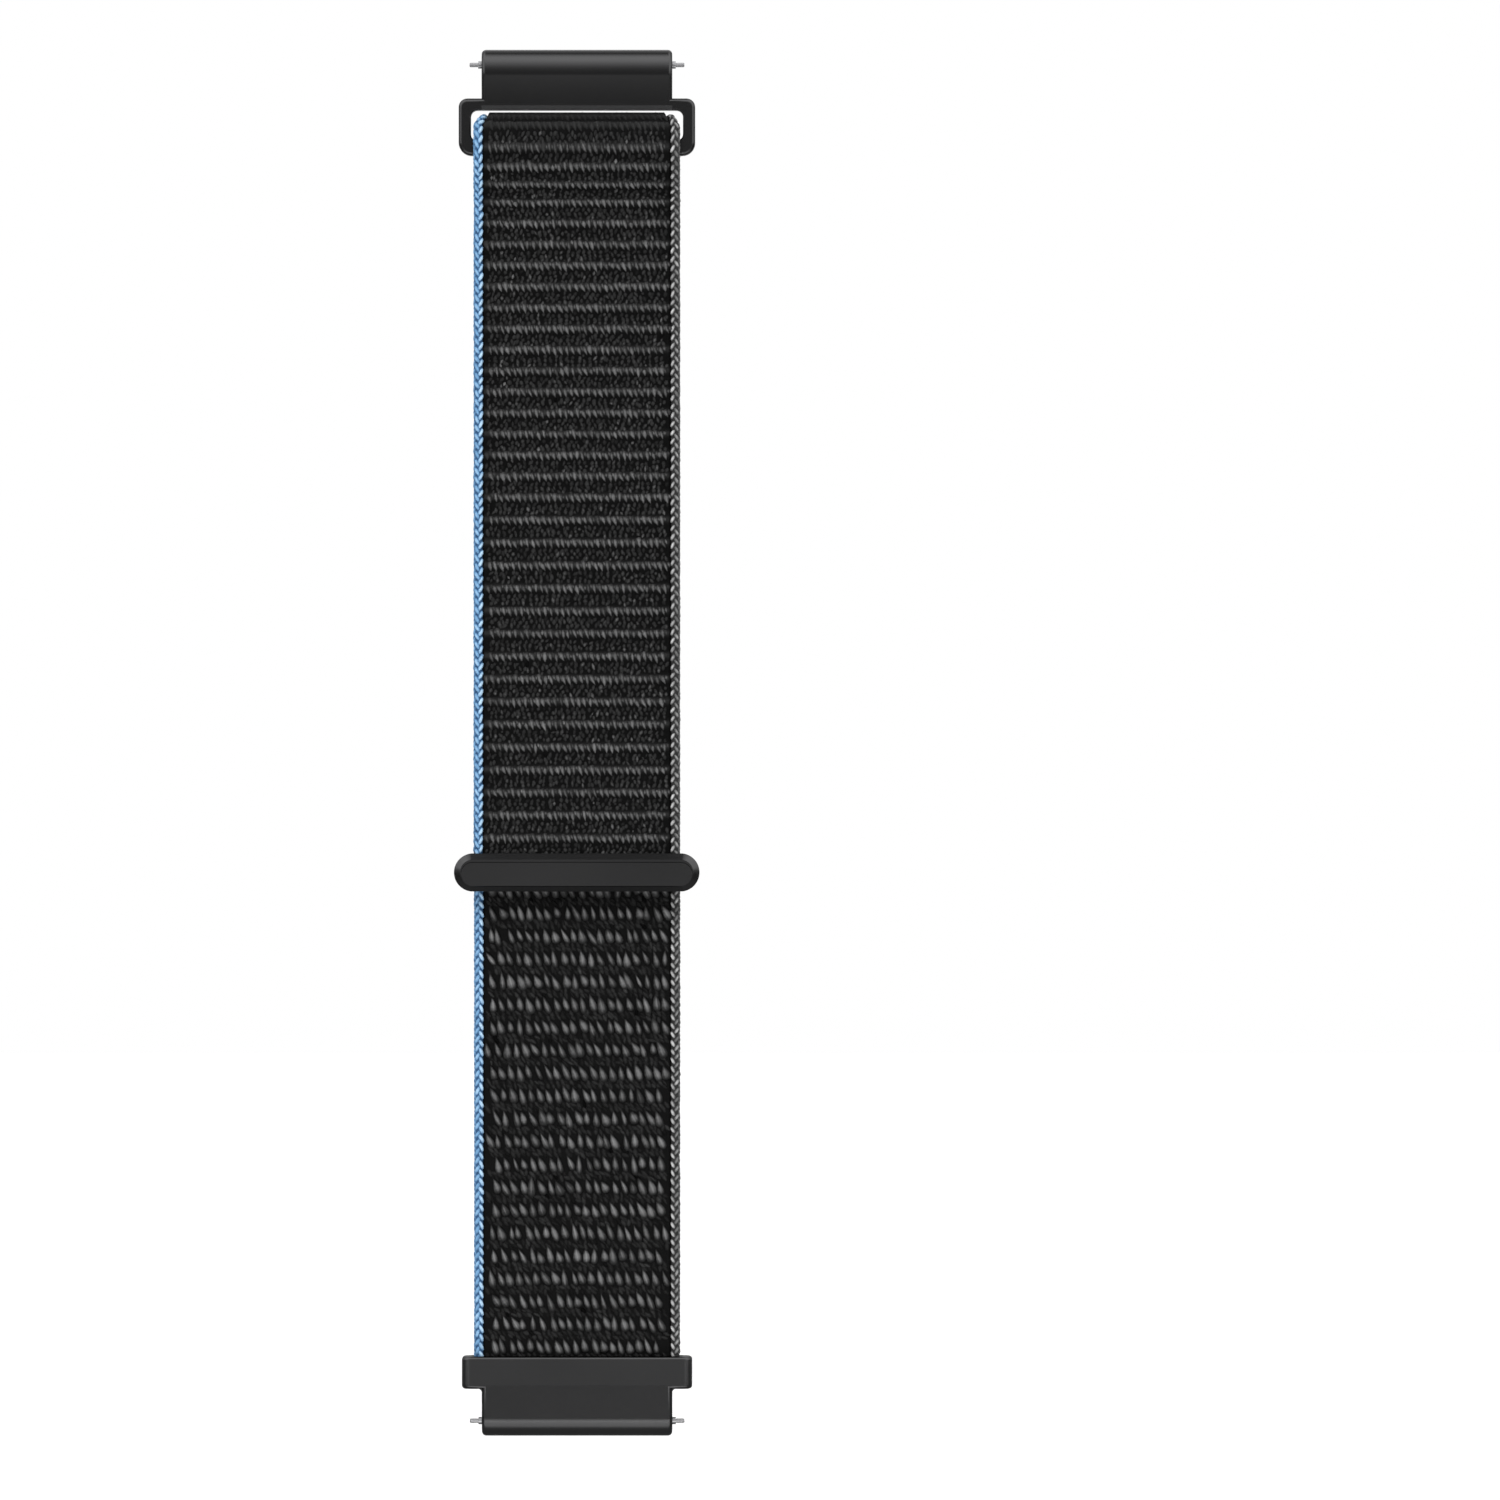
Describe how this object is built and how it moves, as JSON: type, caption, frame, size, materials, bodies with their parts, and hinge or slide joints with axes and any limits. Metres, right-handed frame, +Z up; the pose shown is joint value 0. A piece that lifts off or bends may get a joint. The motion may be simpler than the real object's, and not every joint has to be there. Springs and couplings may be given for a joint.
{
  "type": "watch strap",
  "caption": "Woven nylon watch strap with a hook-and-loop flap through a ring adapter, quick-release spring bars at both ends, and a band that curls round a wrist.",
  "frame": {"origin": "the middle of the upper spring bar's axis, where the watch's lugs hold the strap", "axes": "+Z up along the hanging strap, +X across it, -Y the side that shows on the wrist and +Y the skin side"},
  "size_m": [0.0284, 0.0082, 0.1601],
  "materials": {
    "coated_metal": "satin black coating, softly bevelled edges",
    "black_nylon": "ribbed black nylon weave with a looped pile face",
    "edge_blue": "braided selvedge in two blues",
    "edge_grey": "braided selvedge in black and light grey",
    "grey_hook_tape": "plain woven backing tape",
    "black_hooks": "moulded hook field",
    "spring_steel": "plain turned steel"
  },
  "bodies": {
    "root": {"ring_adapter": "coated_metal", "ring_bar_tube": "spring_steel", "ring_bar_spring": "spring_steel"},
    "ring_pin": {"ring_bar_pin": "spring_steel", "ring_release_knob": "spring_steel"},
    "strap_1": {"band_loop": "black_nylon"},
    "strap_2": {"band_2": "black_nylon"},
    "strap_3": {"band_3": "black_nylon"},
    "strap_4": {"band_4": "black_nylon"},
    "strap_5": {"band_5": "black_nylon"},
    "strap_6": {"band_6": "black_nylon"},
    "strap_7": {"band_7": "black_nylon"},
    "strap_8": {"band_8": "black_nylon", "fixed_adapter": "coated_metal", "retaining_rod": "spring_steel", "fixed_bar_tube": "spring_steel", "fixed_bar_spring": "spring_steel"},
    "fixed_pin": {"fixed_bar_pin": "spring_steel", "fixed_release_knob": "spring_steel"},
    "flap_1": {"flap_band_1": "black_nylon"},
    "flap_2": {"flap_band_2": "black_nylon", "hook_tape_1": "grey_hook_tape"},
    "flap_3": {"flap_band_3": "black_nylon", "hook_tape_2": "grey_hook_tape", "hook_patch_1": "black_hooks", "hook_patch_2": "black_hooks"},
    "flap_4": {"flap_band_4": "black_nylon", "hook_tape_3": "grey_hook_tape", "hook_patch_3": "black_hooks", "hook_patch_4": "black_hooks"},
    "flap_5": {"flap_band_5": "black_nylon", "hook_tape_4": "grey_hook_tape", "hook_patch_5": "black_hooks", "end_bar_cover": "coated_metal", "end_bar_clamp": "coated_metal"}
  },
  "joints": [
    {"name": "strap_swing", "type": "hinge", "parent": "root", "child": "strap_1", "pos_m": [0, 0, -0.00964], "axis": [1, 0, 0], "range_deg": [-10, 75]},
    {"name": "flap_peel", "type": "hinge", "parent": "strap_1", "child": "flap_1", "pos_m": [0, -0.00235, -0.01699], "axis": [-1, 0, 0], "range_deg": [0, 165]},
    {"name": "strap_curl", "type": "hinge", "parent": "strap_1", "child": "strap_2", "pos_m": [0, 0.00235, -0.02694], "axis": [1, 0, 0], "range_deg": [0, 30]},
    {"name": "strap_curl_2", "type": "hinge", "parent": "strap_2", "child": "strap_3", "pos_m": [0, 0.00235, -0.04534], "axis": [1, 0, 0], "range_deg": [0, 30]},
    {"name": "strap_curl_3", "type": "hinge", "parent": "strap_3", "child": "strap_4", "pos_m": [0, 0.00235, -0.06374], "axis": [1, 0, 0], "range_deg": [0, 30]},
    {"name": "strap_curl_4", "type": "hinge", "parent": "strap_4", "child": "strap_5", "pos_m": [0, 0.00235, -0.08214], "axis": [1, 0, 0], "range_deg": [0, 30]},
    {"name": "strap_curl_5", "type": "hinge", "parent": "strap_5", "child": "strap_6", "pos_m": [0, 0.00235, -0.10054], "axis": [1, 0, 0], "range_deg": [0, 30]},
    {"name": "strap_curl_6", "type": "hinge", "parent": "strap_6", "child": "strap_7", "pos_m": [0, 0.00235, -0.11894], "axis": [1, 0, 0], "range_deg": [0, 30]},
    {"name": "strap_curl_7", "type": "hinge", "parent": "strap_7", "child": "strap_8", "pos_m": [0, 0.00235, -0.13734], "axis": [1, 0, 0], "range_deg": [0, 30]},
    {"name": "flap_curl_1", "type": "hinge", "parent": "flap_1", "child": "flap_2", "pos_m": [0, 0.00235, -0.02694], "axis": [1, 0, 0], "range_deg": [0, 30]},
    {"name": "flap_curl_2", "type": "hinge", "parent": "flap_2", "child": "flap_3", "pos_m": [0, 0.00235, -0.04534], "axis": [1, 0, 0], "range_deg": [0, 30]},
    {"name": "flap_curl_3", "type": "hinge", "parent": "flap_3", "child": "flap_4", "pos_m": [0, 0.00235, -0.06374], "axis": [1, 0, 0], "range_deg": [0, 30]},
    {"name": "flap_curl_4", "type": "hinge", "parent": "flap_4", "child": "flap_5", "pos_m": [0, 0.00235, -0.08214], "axis": [1, 0, 0], "range_deg": [0, 30]},
    {"name": "ring_pin_slide", "type": "slide", "parent": "root", "child": "ring_pin", "axis": [-1, 0, 0], "range_m": [0, 0.0013], "stiffness_N_per_m": 400, "springref_m": -0.001, "deforming": ["ring_bar_spring"]},
    {"name": "fixed_pin_slide", "type": "slide", "parent": "strap_8", "child": "fixed_pin", "axis": [-1, 0, 0], "range_m": [0, 0.0013], "stiffness_N_per_m": 400, "springref_m": -0.001, "deforming": ["fixed_bar_spring"]}
  ],
  "couplings": [
    {"joint": "strap_curl_2", "follows": "strap_curl", "ratio": 1},
    {"joint": "strap_curl_3", "follows": "strap_curl", "ratio": 1},
    {"joint": "strap_curl_4", "follows": "strap_curl", "ratio": 1},
    {"joint": "strap_curl_5", "follows": "strap_curl", "ratio": 1},
    {"joint": "strap_curl_6", "follows": "strap_curl", "ratio": 1},
    {"joint": "strap_curl_7", "follows": "strap_curl", "ratio": 1},
    {"joint": "flap_curl_1", "follows": "strap_curl", "ratio": 1},
    {"joint": "flap_curl_2", "follows": "strap_curl", "ratio": 1},
    {"joint": "flap_curl_3", "follows": "strap_curl", "ratio": 1},
    {"joint": "flap_curl_4", "follows": "strap_curl", "ratio": 1}
  ]
}
